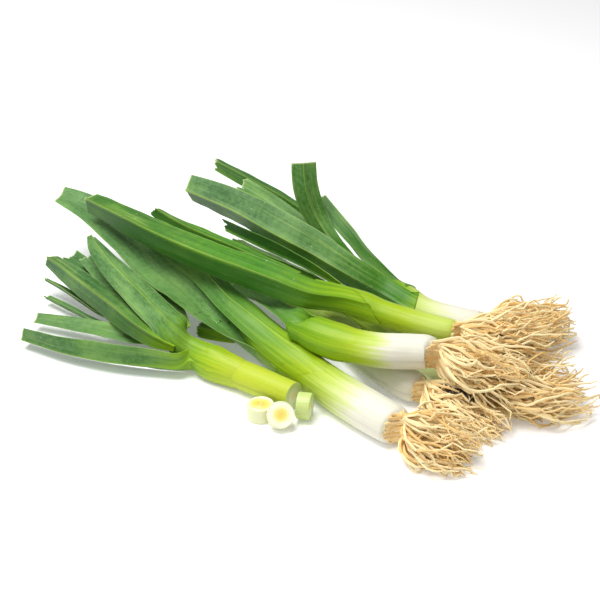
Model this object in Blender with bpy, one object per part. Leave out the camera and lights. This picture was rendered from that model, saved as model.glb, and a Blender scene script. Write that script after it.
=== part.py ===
"""A pile of seven leeks: stems, root tufts, folded leaves and three cut slices.

Metres, +Z up. The roots point to +X and towards the front (-Y), the leaves spread to -X and
to the back. The origin is at the bottom centre of the whole pile. Routes, widths and radii
are written in millimetres and scaled by MM.
"""
import math

import bmesh
import bpy
from mathutils import Vector

MM = 0.001

# Driving dimensions, in millimetres unless a comment says otherwise.
STEM_SIDES = 12          # sides of a stem
LEAF_RINGS = 11          # rings along a leaf
ROOT_SIDES = 12          # sides of a root tuft
ROOT_RINGS = 6           # rings along a root tuft
SLICE_SIDES = 18         # sides of a cut slice
SLICE_RADIUS = 10.6
EDGE_THICK = 1.2         # leaf thickness at its edges
KEEL_THICK = 2.2         # leaf thickness along its keel
KEEL_INSIDE = 0.3        # share of the keel's thickness on the side that the leaf opens to
SHEATH_GAP = 1.7         # space between a stem and the sheath around it
SHEATH_STEP = 15.0       # half the angle that one sheath segment spans, degrees
EDGE_TURN = 6.0          # how much further the outer quarter of a blade folds, degrees
CURVE_STEPS = 16         # straight steps that measure one stretch of a smooth curve
TANGENT_STEP = 0.02      # share of a stretch looked ahead and back for its direction
CRISP_ANGLES = {"stem": 50, "roots": 60, "leaf": 40, "slice": 40}   # shading stays smooth below, degrees
CENTRE = Vector((-1.5, -18.2, 0.0))   # bottom centre of the routes below

# Colours: linear red, green, blue.
WHITE = (0.80, 0.82, 0.58)
LIME = (0.36, 0.56, 0.10)
GREEN = (0.09, 0.26, 0.05)
BLUE_GREEN = (0.10, 0.25, 0.12)
STRAW = (0.66, 0.47, 0.24)
CUT = (0.80, 0.84, 0.42)

# Stems: (axis point, radius) from the basal plate to where the leaves have parted.
STEMS = {
    "a": [((72, -167, 15), 10), ((69, -163, 15), 15), ((52, -146, 15.5), 15.5), ((31, -122, 15.3), 15),
          ((13, -99, 15.5), 14.8), ((-7, -77, 18), 14.4), ((-24, -57, 21), 13), ((-36, -42, 25), 9),
          ((-44, -32, 28), 5)],
    "b": [((100, -111, 44), 8.5), ((97, -109, 44), 13), ((86, -107, 43), 13.8), ((59, -103, 42), 13.5),
          ((30, -90, 41), 13), ((12, -79, 42), 12), ((2, -72, 43), 8.5), ((-6, -66, 43), 4)],
    "c": [((121, -70, 38), 6), ((118, -69, 38), 9.5), ((104, -64, 38), 10.5), ((80, -54, 40), 10),
          ((56, -43, 43), 10), ((40, -37, 47), 8.5), ((24, -31, 52), 5.5), ((12, -26, 55), 3)],
    "d": [((147, -20, 14), 7), ((144, -19, 14), 11.5), ((131, -16, 14), 12.5), ((106, -2, 14), 12),
          ((84, 19, 16), 11.5), ((70, 30, 20), 9), ((60, 38, 24), 5)],
    "e": [((92, -113, 13), 7), ((89, -110, 13), 12), ((78, -100, 13), 12.9), ((56, -70, 13), 12.7),
          ((38, -40, 14), 12.7), ((20, -19, 15), 12), ((4, -8, 17), 9), ((-10, 2, 18), 4)],
    "f": [((-4, -120, 12.3), 11), ((-23, -106, 12), 11.2), ((-44, -90, 12), 11.3), ((-63, -75, 12), 11),
          ((-79, -64, 13), 9), ((-92, -55, 15), 6), ((-103, -47, 17), 3)],
    "g": [((139, -111, 14), 8), ((136, -108, 14), 12.5), ((122, -97, 14), 13.5), ((108, -82, 13), 12.5),
          ((86, -47, 13), 12), ((62, -18, 14), 11.5), ((46, -3, 15), 8), ((36, 6, 16), 4)],
}

# Root tufts: (centre, half width, half height) from the basal plate to the root tips.
ROOTS = {
    "a": [((75, -170, 15), 9, 8), ((84, -175, 15), 15, 12), ((98, -179, 14), 22, 13),
          ((112, -182, 12), 22, 11), ((127, -184, 8), 12, 7)],
    "b": [((104.5, -112, 44), 7, 7), ((113, -114, 43), 12, 11), ((130, -117, 41), 17, 10),
          ((150, -121, 39), 17, 8), ((168, -125, 37), 11, 5)],
    "c": [((124, -71, 38), 6, 6), ((134, -74, 38), 13, 10), ((150, -75, 39), 16, 10),
          ((170, -72, 40), 16, 9), ((190, -66, 41), 9, 5)],
    "d": [((150, -21, 14), 7, 7), ((160, -24, 15), 14, 12), ((178, -25, 17), 19, 13),
          ((198, -22, 19), 19, 11), ((216, -18, 21), 11, 6)],
    "e": [((95, -116, 13), 7, 7), ((104, -124, 13), 12, 10), ((118, -136, 12), 15, 10),
          ((134, -148, 10), 15, 8), ((148, -157, 7), 9, 5)],
    "g": [((142, -114, 14), 8, 8), ((152, -117, 14), 15, 12), ((170, -114, 14), 26, 13),
          ((192, -108, 14), 32, 12), ((212, -101, 12), 23, 8)],
}

# Leaves. "sheath" is the stretch of the stem that the leaf's base wraps, as fractions of the
# stem's length, and "side" is the side of the stem that its keel is on. "keel" is the blade's
# keel. "opens" (direction that the fold opens in), "half" (half width) and "fold" (angle of
# each half, degrees) are spread evenly along the blade.
LEAVES = {
    "a_leaf_upper": dict(
        stem="a", sheath=(0.60, 0.74), side=(0.1, -0.35, 0.93), half=(12, 11.5, 11.5, 9), fold=(16, 12, 14),
        keel=[(-55, -22, 40), (-66, -5, 43), (-78, 13, 46), (-90, 27, 49), (-104, 44, 53), (-118, 62, 57),
              (-130, 78, 59)],
        opens=[(0, 0.45, -0.9)]),
    "a_leaf_lower": dict(
        stem="a", sheath=(0.62, 0.76), side=(-0.55, -0.15, -0.8), half=(17, 20, 20, 17, 9), fold=(14, 8, 8),
        keel=[(-62, -33, 20), (-75, -17, 25), (-92, 5, 31), (-110, 25, 36), (-130, 52, 41),
              (-156, 87, 47), (-184, 116, 51), (-210, 136, 54)],
        opens=[(0.3, -0.1, 0.9), (0, -0.35, 0.93), (0, -0.35, 0.93)]),
    "b_leaf": dict(
        stem="b", sheath=(0.70, 0.82), side=(0.3, 0.95, -0.3), half=(10, 10, 9, 6), fold=(18, 12),
        keel=[(-12, -48, 40), (-23, -31, 38), (-32, -12, 33), (-43, 9, 29), (-52, 25, 29)],
        opens=[(0.2, -0.1, 0.95), (0, -0.3, 0.95)]),
    "c_leaf_main": dict(
        stem="c", sheath=(0.50, 0.66), side=(0, -0.75, 0.65), half=(13, 17, 17.5, 17, 12), fold=(30, 40, 42),
        keel=[(17, -50, 58), (-8, -43, 64), (-39, -28, 69), (-71, -10, 72), (-111, 20, 74),
              (-145, 55, 73), (-180, 94, 70)],
        opens=[(0.1, 0.8, -0.6), (0.2, 0.75, -0.62)]),
    "c_leaf_slim": dict(
        half=(4, 9, 9, 8, 6), fold=(25, 35),
        keel=[(0, -19, 60), (-24, -7, 63), (-49, 12, 66), (-81, 36, 68), (-103, 56, 69), (-123, 79, 70)],
        opens=[(0.1, 0.5, -0.85)]),
    "c_leaf_back": dict(
        half=(4, 9, 12, 12, 9), fold=(20, 30),
        keel=[(33, -22, 52), (20, -9, 53), (0, 9, 55), (-24, 28, 57), (-45, 45, 59), (-65, 64, 60)],
        opens=[(0.1, 0.7, 0.6)]),
    "c_leaf_under": dict(
        half=(4, 10, 13, 13, 10), fold=(12, 16),
        keel=[(32, -22, 41), (16, -8, 43), (-6, 7, 44), (-28, 24, 44), (-48, 42, 44), (-66, 60, 44)],
        opens=[(0, 0.5, -0.85)]),
    "d_leaf_main": dict(
        stem="d", sheath=(0.60, 0.74), side=(-0.3, -0.85, 0.3), half=(16, 20, 20, 18, 14),
        fold=(26, 33, 33), opens=[(0.35, 0.9, -0.1)],
        keel=[(36, 26, 38), (12, 41, 46), (-8, 52, 52), (-28, 66, 57), (-53, 86, 62), (-78, 103, 66),
              (-99, 118, 68)]),
    "d_leaf_upright": dict(
        half=(3, 6, 10, 11, 10.5), fold=(14, 8, 5), opens=[(0, 0.9, 0.3), (0, 0.94, -0.3)],
        keel=[(51, 46, 30), (40, 57, 37), (26, 71, 46), (16, 80, 57), (9, 84, 72), (5, 88, 88), (4, 94, 104)]),
    "d_leaf_right": dict(
        stem="d", sheath=(0.66, 0.80), side=(0.7, 0.5, 0.5), half=(11, 12, 12, 11, 4), fold=(22, 38),
        opens=[(-0.7, 0.5, -0.5)],
        keel=[(57, 56, 42), (47, 71, 50), (34, 89, 58), (20, 110, 66)]),
    "d_leaf_back_outer": dict(
        half=(3, 5, 8, 9, 9, 8, 7), fold=(25, 35), opens=[(0, 0.5, -0.85)],
        keel=[(51, 52, 22), (42, 68, 27), (30, 88, 35), (12, 106, 45), (-8, 118, 55), (-33, 132, 64),
              (-55, 146, 70), (-77, 160, 76)]),
    "d_leaf_back_inner": dict(
        half=(3, 5, 8, 9, 8), fold=(15, 20), opens=[(0, -0.5, 0.85)],
        keel=[(47, 48, 21), (36, 62, 25), (20, 80, 34), (0, 96, 45), (-20, 110, 54), (-38, 124, 60),
              (-54, 137, 64)]),
    "e_leaf": dict(
        stem="e", sheath=(0.74, 0.86), side=(0.3, 0.3, 0.9), half=(12, 13, 12, 9), fold=(16, 12),
        keel=[(-22, 12, 27), (-40, 26, 27), (-58, 42, 26), (-76, 60, 24)], opens=[(0, 0, -1)]),
    "g_leaf": dict(
        stem="g", sheath=(0.74, 0.86), side=(0.2, 0.2, 0.95), half=(11, 12, 12, 8), fold=(16, 14),
        keel=[(18, 22, 28), (0, 40, 30), (-20, 60, 30), (-40, 82, 28), (-58, 104, 26)],
        opens=[(0, 0, -1)]),
    "f_leaf_front": dict(
        stem="f", sheath=(0.50, 0.66), side=(0.3, -0.9, 0.05), half=(11, 14.5, 15.5, 13, 9), fold=(22, 28, 32),
        keel=[(-86, -78.5, 11), (-106, -76.5, 11), (-134, -72, 10.8), (-161, -64, 10.4), (-190, -51, 9.8),
              (-222, -31, 9)],
        opens=[(0, 0.9, 0.35)]),
    "f_leaf_strip": dict(
        half=(4, 8, 7, 6, 5), fold=(10, 10), opens=[(0, -0.5, 0.87)],
        keel=[(-110, -42, 13), (-131, -34, 12), (-152, -26, 12), (-177, -15, 11), (-194, -8, 10),
              (-214, -1, 9)]),
    "f_leaf_long": dict(
        half=(4, 12, 14, 13, 7), fold=(35, 40, 35), opens=[(0.45, 0.4, -0.8)],
        keel=[(-96, -71, 25), (-112, -61, 28), (-131, -42, 30), (-151, -17, 32), (-176, 14, 33),
              (-197, 42, 33), (-212, 62, 32)]),
    "f_leaf_grey": dict(
        stem="f", sheath=(0.56, 0.69), side=(0.2, 0.70, 0.70), half=(12, 14, 12.5, 10, 3), fold=(12, 10),
        keel=[(-93, -58, 34), (-111, -38, 38), (-129, -12, 42), (-148, 16, 45), (-165, 46, 47),
              (-175, 70, 48)],
        opens=[(0.2, 0.1, -0.9), (-0.2, 0.3, -0.9)]),
    "f_leaf_inner": dict(
        half=(4, 6, 8, 7, 6), fold=(12, 12), opens=[(-0.3, -0.4, 0.85)],
        keel=[(-110, -38, 22), (-125, -24, 25), (-138, -6, 27), (-153, 17, 29), (-168, 42, 31),
              (-180, 62, 33)]),
    "f_leaf_olive": dict(
        half=(5, 8, 11, 11, 8), fold=(10, 10), opens=[(0, -0.4, 0.9)],
        keel=[(-90, -34, 19), (-97, -20, 22), (-104, -6, 24), (-116, 6, 26), (-132, 21, 28), (-148, 35, 30)]),
    "f_leaf_rear": dict(
        half=(3, 5, 8, 9, 8), fold=(14, 14), opens=[(0, -0.5, 0.85)],
        keel=[(-116, -27, 19), (-131, -9, 19), (-146, 8, 20), (-160, 28, 22), (-178, 54, 24), (-197, 78, 25)]),
    "f_leaf_spear_a": dict(
        half=(3, 5, 5, 2), fold=(25, 25), opens=[(0, 0.5, 0.85)],
        keel=[(-128, -20, 13), (-146, -9, 13), (-160, -2, 13), (-173, 12, 13), (-192, 33, 14), (-213, 54, 15)]),
    "f_leaf_spear_b": dict(
        half=(3, 5, 5, 4), fold=(25, 25), opens=[(0, 0.5, 0.85)],
        keel=[(-124, -22, 5), (-146, -14, 5), (-166, -2, 6), (-190, 18, 7), (-211, 37, 7)]),
    "leaf_scrap": dict(
        half=(7, 8, 8, 6), fold=(10, 14), opens=[(0, 0.5, -0.85)],
        keel=[(-50, -22, 6), (-62, -19, 7), (-74, -15, 7), (-86, -9, 6)]),
}

# Slices: (centre, axis, length) of each short cut length of stem.
SLICES = {
    "slice_flat": ((-28.6, -130.5, 6.1), (0, 0, 1), 12),
    "slice_leaning": ((-13.5, -144.3, 11), (0.1, -0.77, 0.63), 7),
    "slice_upright": ((4.3, -131.6, 10.8), (0.98, -0.2, 0), 10.5),
}


def spread(values, share):
    """Value at a share (0 to 1) of an evenly spread list of numbers or vectors."""
    place = share * (len(values) - 1)
    low = min(int(place), max(len(values) - 2, 0))
    if len(values) == 1:
        return values[0]
    return values[low] + (values[low + 1] - values[low]) * (place - low)


def smooth_point(points, place):
    """Point on a smooth curve through the points; place counts in whole points."""
    last = len(points) - 1
    low = min(int(place), last - 1)
    t = place - low
    p0, p1, p2, p3 = (points[min(max(low + k, 0), last)] for k in (-1, 0, 1, 2))
    return 0.5 * (2 * p1 + (p2 - p0) * t + (2 * p0 - 5 * p1 + 4 * p2 - p3) * t * t
                  + (3 * p1 - 3 * p2 + p3 - p0) * t * t * t)


def even_places(points, count):
    """Places along the smooth curve that lie the same distance apart."""
    steps = CURVE_STEPS * (len(points) - 1)
    places = [k * (len(points) - 1) / steps for k in range(steps + 1)]
    line = [smooth_point(points, place) for place in places]
    length = [0.0]
    for before, after in zip(line, line[1:]):
        length.append(length[-1] + (after - before).length)
    result = []
    for k in range(count):
        goal = length[-1] * k / (count - 1)
        i = max(j for j in range(steps) if length[j] <= goal + 1e-12)
        result.append(places[i] + (places[i + 1] - places[i]) * (goal - length[i]) / (length[i + 1] - length[i]))
    return result


def tangent(points, place):
    """Direction of the smooth curve at a place."""
    last = len(points) - 1
    ahead = smooth_point(points, min(place + TANGENT_STEP, last))
    behind = smooth_point(points, max(place - TANGENT_STEP, 0))
    return (ahead - behind).normalized()


def loft(name, rings, colour, smooth_angle):
    """Closed body through rings of points, with flat ends; rings are in millimetres."""
    bm = bmesh.new()
    loops = [[bm.verts.new((Vector(p) - CENTRE) * MM) for p in ring] for ring in rings]
    count = len(loops[0])
    for near, far in zip(loops, loops[1:]):
        for k in range(count):
            n = (k + 1) % count
            bm.faces.new((near[k], near[n], far[n], far[k]))
    bm.faces.new(loops[0][::-1])
    bm.faces.new(loops[-1])
    bmesh.ops.triangulate(bm, faces=bm.faces[:])
    bmesh.ops.recalc_face_normals(bm, faces=bm.faces[:])
    mesh = bpy.data.meshes.new(name)
    bm.to_mesh(mesh)
    bm.free()
    mesh.shade_smooth()
    mesh.set_sharp_from_angle(angle=math.radians(smooth_angle))
    mesh.materials.append(finish(name, colour))
    obj = bpy.data.objects.new(name, mesh)
    bpy.context.scene.collection.objects.link(obj)
    return obj


def finish(name, colour):
    """Waxy plant-skin material in one colour."""
    mat = bpy.data.materials.new(name)
    mat.use_nodes = True
    shader = mat.node_tree.nodes["Principled BSDF"]
    shader.inputs["Base Color"].default_value = (*colour, 1.0)
    shader.inputs["Roughness"].default_value = 0.45
    shader.inputs["Metallic"].default_value = 0.0
    return mat


def ellipse_ring(centre, along, half_width, half_height, sides):
    """Ring of points around a near-level axis, width level and height upright."""
    across = Vector((0, 0, 1)).cross(along).normalized()
    upright = along.cross(across).normalized()
    turns = [2 * math.pi * k / sides for k in range(sides)]
    return [centre + across * half_width * math.cos(a) + upright * half_height * math.sin(a) for a in turns]


def stem_at(leek, share):
    """Axis point, direction and radius of a leek's stem at a share of its length."""
    points = [Vector(row[0]) for row in STEMS[leek]]
    radii = [row[1] for row in STEMS[leek]]
    place = share * (len(points) - 1)
    return smooth_point(points, place), tangent(points, place), spread(radii, share)


def make_stem(leek, colour):
    """Stem: round rings along its axis."""
    points = [Vector(row[0]) for row in STEMS[leek]]
    radii = [row[1] for row in STEMS[leek]]
    rings = []
    for k in range(len(points)):
        rings.append(ellipse_ring(points[k], tangent(points, k), radii[k], radii[k], STEM_SIDES))
    return loft(leek + "_stem", rings, colour, CRISP_ANGLES["stem"])


def make_roots(leek):
    """Tuft of roots: flattened rings that flare from the basal plate."""
    rows = ROOTS[leek]
    points = [Vector(row[0]) for row in rows]
    rings = []
    for place in even_places(points, ROOT_RINGS):
        share = place / (len(points) - 1)
        half_width = spread([row[1] for row in rows], share)
        half_height = spread([row[2] for row in rows], share)
        rings.append(ellipse_ring(smooth_point(points, place), tangent(points, place),
                                  half_width, half_height, ROOT_SIDES))
    return loft(leek + "_roots", rings, STRAW, CRISP_ANGLES["roots"])


def leaf_ring(keel, along, opens, half, fold, turn):
    """Ten points around a folded blade: five on the open side, five back along the outside."""
    opens = (opens - along * opens.dot(along)).normalized()
    across = along.cross(opens)
    inner, outer = [], []
    for side in (-1, 1):
        angles = [math.radians(fold), math.radians(turn)]
        mid = keel + (across * side * math.cos(angles[0]) + opens * math.sin(angles[0])) * half / 2
        edge = mid + (across * side * math.cos(angles[1]) + opens * math.sin(angles[1])) * half / 2
        for point, angle in ((mid, sum(angles) / 2), (edge, angles[1])):
            normal = opens * math.cos(angle) - across * side * math.sin(angle)
            inner.append(point + normal * EDGE_THICK / 2)
            outer.append(point - normal * EDGE_THICK / 2)
    keel_in = keel + opens * KEEL_THICK * KEEL_INSIDE
    keel_out = keel - opens * KEEL_THICK * (1 - KEEL_INSIDE)
    return [inner[1], inner[0], keel_in, inner[2], inner[3],
            outer[3], outer[2], keel_out, outer[0], outer[1]]


def make_leaf(name, colour, keel, opens, half, fold, stem=None, sheath=(), side=None):
    """Leaf: a sheath around its stem, where it has one, and a folded blade."""
    blade = [Vector(p) for p in keel]
    opens = [Vector(v).normalized() for v in opens]
    points, ways, halves, folds, turns = [], [], [], [], []
    for share in sheath:
        axis, along, radius = stem_at(stem, share)
        out = Vector(side) - along * along.dot(Vector(side))
        out.normalize()
        around = radius + SHEATH_GAP + EDGE_THICK / 2
        points.append(axis + out * around)
        ways.append(-out)
        halves.append(4 * around * math.sin(math.radians(SHEATH_STEP)))
        folds.append(SHEATH_STEP)
        turns.append(3 * SHEATH_STEP)
    for k, point in enumerate(blade):
        share = k / (len(blade) - 1)
        points.append(point)
        ways.append(spread(opens, share))
        halves.append(spread(half, share))
        folds.append(spread(fold, share))
        turns.append(spread(fold, share) + EDGE_TURN)
    rings = []
    last = len(points) - 1
    for place in even_places(points, LEAF_RINGS):
        share = place / last
        rings.append(leaf_ring(smooth_point(points, place), tangent(points, place), spread(ways, share),
                               spread(halves, share), spread(folds, share), spread(turns, share)))
    return loft(name, rings, colour, CRISP_ANGLES["leaf"])


def make_slice(name):
    """Short cut length of stem, with flat ends."""
    centre, axis = (Vector(v) for v in SLICES[name][:2])
    length = SLICES[name][2]
    axis.normalize()
    across = axis.orthogonal().normalized()
    upright = axis.cross(across)
    turns = [2 * math.pi * k / SLICE_SIDES for k in range(SLICE_SIDES)]
    rings = []
    for end in (-0.5, 0.5):
        middle = centre + axis * length * end
        rings.append([middle + (across * math.cos(a) + upright * math.sin(a)) * SLICE_RADIUS for a in turns])
    return loft(name, rings, CUT, CRISP_ANGLES["slice"])


def main():
    """Build every sub-part."""
    for obj in list(bpy.data.objects):
        bpy.data.objects.remove(obj, do_unlink=True)
    for leek in STEMS:
        make_stem(leek, LIME if leek in "cf" else WHITE)
    for leek in ROOTS:
        make_roots(leek)
    for name, shape in LEAVES.items():
        make_leaf(name, BLUE_GREEN if "back" in name else GREEN, **shape)
    for name in SLICES:
        make_slice(name)


main()
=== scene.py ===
"""Looks for a pile of seven leeks: skins, folded leaves, root strands and cut slices.

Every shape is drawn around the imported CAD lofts: their rings of points are read back and
refined into stems, blades and tufts. Lengths are in metres unless a name says millimetres.
"""
import math
import random
from collections import namedtuple

import bmesh
import bpy
import numpy as np
from bpy.props import FloatProperty, FloatVectorProperty, IntProperty, PointerProperty
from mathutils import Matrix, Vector, noise


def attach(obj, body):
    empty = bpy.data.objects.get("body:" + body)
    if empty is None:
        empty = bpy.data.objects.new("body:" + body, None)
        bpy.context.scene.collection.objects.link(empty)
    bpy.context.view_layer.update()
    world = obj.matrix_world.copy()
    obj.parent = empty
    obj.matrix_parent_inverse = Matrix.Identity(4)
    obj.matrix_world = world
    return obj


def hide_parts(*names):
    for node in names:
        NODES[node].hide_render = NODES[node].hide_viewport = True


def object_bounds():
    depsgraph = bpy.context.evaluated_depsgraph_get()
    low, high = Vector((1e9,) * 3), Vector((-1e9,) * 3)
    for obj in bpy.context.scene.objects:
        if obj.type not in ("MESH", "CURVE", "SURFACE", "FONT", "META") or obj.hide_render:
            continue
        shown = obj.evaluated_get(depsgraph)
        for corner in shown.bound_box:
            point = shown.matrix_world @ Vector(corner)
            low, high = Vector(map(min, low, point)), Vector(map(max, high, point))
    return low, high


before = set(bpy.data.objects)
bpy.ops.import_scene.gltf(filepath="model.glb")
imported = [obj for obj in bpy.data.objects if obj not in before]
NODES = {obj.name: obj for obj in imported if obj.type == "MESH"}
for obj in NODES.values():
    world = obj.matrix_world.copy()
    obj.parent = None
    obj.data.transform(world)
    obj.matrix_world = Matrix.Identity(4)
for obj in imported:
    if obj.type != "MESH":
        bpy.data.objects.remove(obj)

bl_info = {
    "name": "Leek pile",
    "version": (1, 0, 0),
    "blender": (4, 5, 0),
    "location": "View3D > Sidebar > Leeks",
    "description": "Builds a pile of leeks with roots, folded leaves and cut slices",
    "category": "Object",
}

MM = 0.001
CAD_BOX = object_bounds()
LEEKS = sorted(name[0] for name in NODES if name.endswith("_stem"))
TUFTS = [leek for leek in LEEKS if leek + "_roots" in NODES]
LEAVES = sorted(name for name in NODES if "leaf" in name)
SLICES = sorted(name for name in NODES if name.startswith("slice"))
CUT_STEMS = "f"
FULL_TUFTS = "gd"        # tufts with more strands than the rest
HANGING_TUFTS = "b"      # tufts with short strands that hang down
STRAND_ROWS = 15         # points along a strand
SWAYS = ((1.0, 0.0034), (2.3, 0.0020), (5.5, 0.0007))  # a strand's waves and their depths

WELD = 1e-6              # points of a CAD node closer than this are one
FLAT = 2e-6              # points of a flat end lie this close to its plane
STEM_SIDES = 12          # points in one ring of each kind of loft
LEAF_SIDES = 10
ROOT_SIDES = 12
SLICE_SIDES = 18
FINE_STEPS = 40          # places between two rings where a line is measured
RISE_SPAN = 0.42         # distance along a leek that the skin's colour ramp covers

# Colours: linear red, green, blue.
WHITE = (0.74, 0.72, 0.60)
CREAM = (0.64, 0.69, 0.32)
PALE_LIME = (0.50, 0.61, 0.11)
YELLOW_LIME = (0.46, 0.55, 0.035)
LIME = (0.37, 0.50, 0.014)
FRESH = (0.23, 0.40, 0.006)
GREEN = (0.062, 0.215, 0.005)
LEAF_GREEN = (0.046, 0.150, 0.014)
BLUE_GREEN = (0.040, 0.125, 0.034)
# Grey-green of the leaves' wax bloom, also used as painted sheen.
BLOOM_AND_SHEEN = (0.240, 0.435, 0.160)
SCAR = (0.32, 0.22, 0.06)
SKIN_BROWN = (0.50, 0.25, 0.06)
STRAW = (0.82, 0.54, 0.20)
PALE_STRAW = (0.95, 0.78, 0.44)
DARK_STRAW = (0.52, 0.25, 0.05)

VEIN_SHADE = (0.34, 0.60, 0.20)
# Colour of painted highlight streaks along the veins.
HIGHLIGHT_STREAK = (0.40, 0.58, 0.12)
KEEL_LIME = (0.30, 0.46, 0.05)
EDGE_LIME = (0.36, 0.50, 0.16)
FLECK = (0.50, 0.60, 0.40)
CUT_EDGE = (0.44, 0.54, 0.26)
# Painted shade: colour of the shaded half of a blade.
SHADED_HALF_GREEN = (0.016, 0.095, 0.003)
PLATE_BROWN = (0.50, 0.31, 0.11)

# Skin colour of each leek by distance from its basal plate, in millimetres.
SKINS = {
    "a": [(0, WHITE), (30, WHITE), (46, CREAM), (64, PALE_LIME), (92, LIME), (138, FRESH),
          (185, GREEN), (255, LEAF_GREEN), (360, BLUE_GREEN)],
    "b": [(0, WHITE), (32, WHITE), (39, CREAM), (46, PALE_LIME), (58, LIME), (86, FRESH),
          (132, GREEN), (185, LEAF_GREEN)],
    "c": [(0, PALE_LIME), (16, PALE_LIME), (40, LIME), (90, FRESH), (140, GREEN),
          (200, GREEN), (290, LEAF_GREEN)],
    "d": [(0, WHITE), (22, WHITE), (44, CREAM), (62, PALE_LIME), (82, FRESH), (100, GREEN),
          (200, LEAF_GREEN), (300, BLUE_GREEN)],
    "e": [(0, WHITE), (40, WHITE), (70, CREAM), (100, PALE_LIME), (140, LIME), (190, FRESH),
          (240, GREEN)],
    "f": [(0, YELLOW_LIME), (40, YELLOW_LIME), (82, LIME), (112, FRESH), (150, LEAF_GREEN),
          (240, BLUE_GREEN)],
    "g": [(0, SKIN_BROWN), (16, CREAM), (70, CREAM), (110, PALE_LIME), (150, LIME), (190, FRESH),
          (240, GREEN)],
}

# The foot of a leaf on its stem: the layer that it lies in, from the inside out, the length of the
# tongue that runs back along the stem, how much further up its upper edge starts, and how far round
# the stem the tongue's first side turns, in degrees. A foot in the outer layer keeps a crisp edge.
Foot = namedtuple("Foot", "layer reach later wrap", defaults=(0.0, 0))
OUTER = 3
SHEATHS = {
    "a_leaf_upper": Foot(1, 0.045), "a_leaf_lower": Foot(2, 0.030), "b_leaf": Foot(1, 0.034),
    "c_leaf_main": Foot(OUTER, 0.004, later=0.030), "d_leaf_main": Foot(OUTER, 0.012),
    "d_leaf_right": Foot(2, 0.010), "e_leaf": Foot(1, 0.030), "g_leaf": Foot(1, 0.030),
    "f_leaf_front": Foot(1, 0.022), "f_leaf_grey": Foot(1, 0.040, wrap=-115),
}

# How much greener than its stem a leaf is, as distance along the colour ramp, in millimetres.
AHEAD = {"d_leaf_main": 34, "d_leaf_right": 60, "f_leaf_front": 14, "f_leaf_grey": 18}

# How a leaf ends: (slant across the blade, depth of the tears), in millimetres. A positive
# slant trims the blade's first side. Leaves that aren't named end square.
ENDS = {
    "a_leaf_lower": (-5, 0.6), "a_leaf_upper": (4, 0.5), "b_leaf": (3, 1.0),
    "c_leaf_slim": (6, 3.5), "c_leaf_back": (4, 6.5), "c_leaf_under": (5, 7.0),
    "d_leaf_main": (5, 0.5), "d_leaf_right": (3, 1.0), "d_leaf_back_outer": (2, 4.5),
    "d_leaf_back_inner": (4, 6.0), "f_leaf_front": (2, 0.6), "f_leaf_long": (5, 0.5),
    "f_leaf_grey": (2, 0.5), "f_leaf_rear": (3, 4.0), "f_leaf_inner": (4, 2.5),
    "leaf_scrap": (3, 5.0), "e_leaf": (2, 2.0), "g_leaf": (2, 2.0),
}

# Stems whose end opens into its leaf like a spoon: share of the length where the rim lies and how
# far its top sinks.
SPOONS = {"b": (0.84, 0.85)}

# How much grey a leaf carries, partly its real wax bloom and partly painted sheen, from 0 (clear green) to
# 1 (blue-grey).
TONES = {
    "a_leaf_lower": 0.75, "a_leaf_upper": 0.45, "b_leaf": 0.65, "c_leaf_main": 0.10,
    "c_leaf_slim": 0.15, "c_leaf_back": 0.30, "c_leaf_under": 0.45, "d_leaf_main": 0.55,
    "d_leaf_upright": 0.60, "d_leaf_right": 0.15, "d_leaf_back_outer": 0.25,
    "d_leaf_back_inner": 0.50, "f_leaf_front": 0.55, "f_leaf_strip": 0.55, "f_leaf_long": 0.45,
    "f_leaf_grey": 0.85, "f_leaf_inner": 0.95, "f_leaf_olive": 0.45, "f_leaf_rear": 0.15,
    "f_leaf_spear_a": 0.05, "f_leaf_spear_b": 0.10, "leaf_scrap": 0.05,
}

# How green a slice's skin is, and how far its cut face is shifted toward pale.
SLICE_LOOKS = {"slice_flat": (0.15, -0.25), "slice_leaning": (0.0, 0.0), "slice_upright": (0.9, 0.30)}


# ---------------------------------------------------------------- shapes from the frame

def flat_ends(places, triangles, count):
    """The two flat ends of a loft: sets of points that lie in the plane of one triangle."""
    ends = []
    for corners in places[triangles]:
        normal = np.cross(corners[1] - corners[0], corners[2] - corners[0])
        if np.linalg.norm(normal) < WELD ** 2:
            continue
        off = np.abs((places - corners[0]) @ unit(normal))
        found = set(np.flatnonzero(off < FLAT).tolist())
        if len(found) == count and found not in ends:
            ends.append(found)
    if len(ends) != 2:
        raise RuntimeError("a loft needs two flat ends, and %d were found" % len(ends))
    return ends


def walk_ring(next_to, row):
    """Points of one ring in the order that its edges join them."""
    path, before, at = [min(row)], None, min(row)
    while True:
        ways = [n for n in sorted(next_to[at]) if n != before]
        if len(path) > 2 and path[0] in next_to[at]:
            return path
        before, at = at, ways[0]
        path.append(at)


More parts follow.
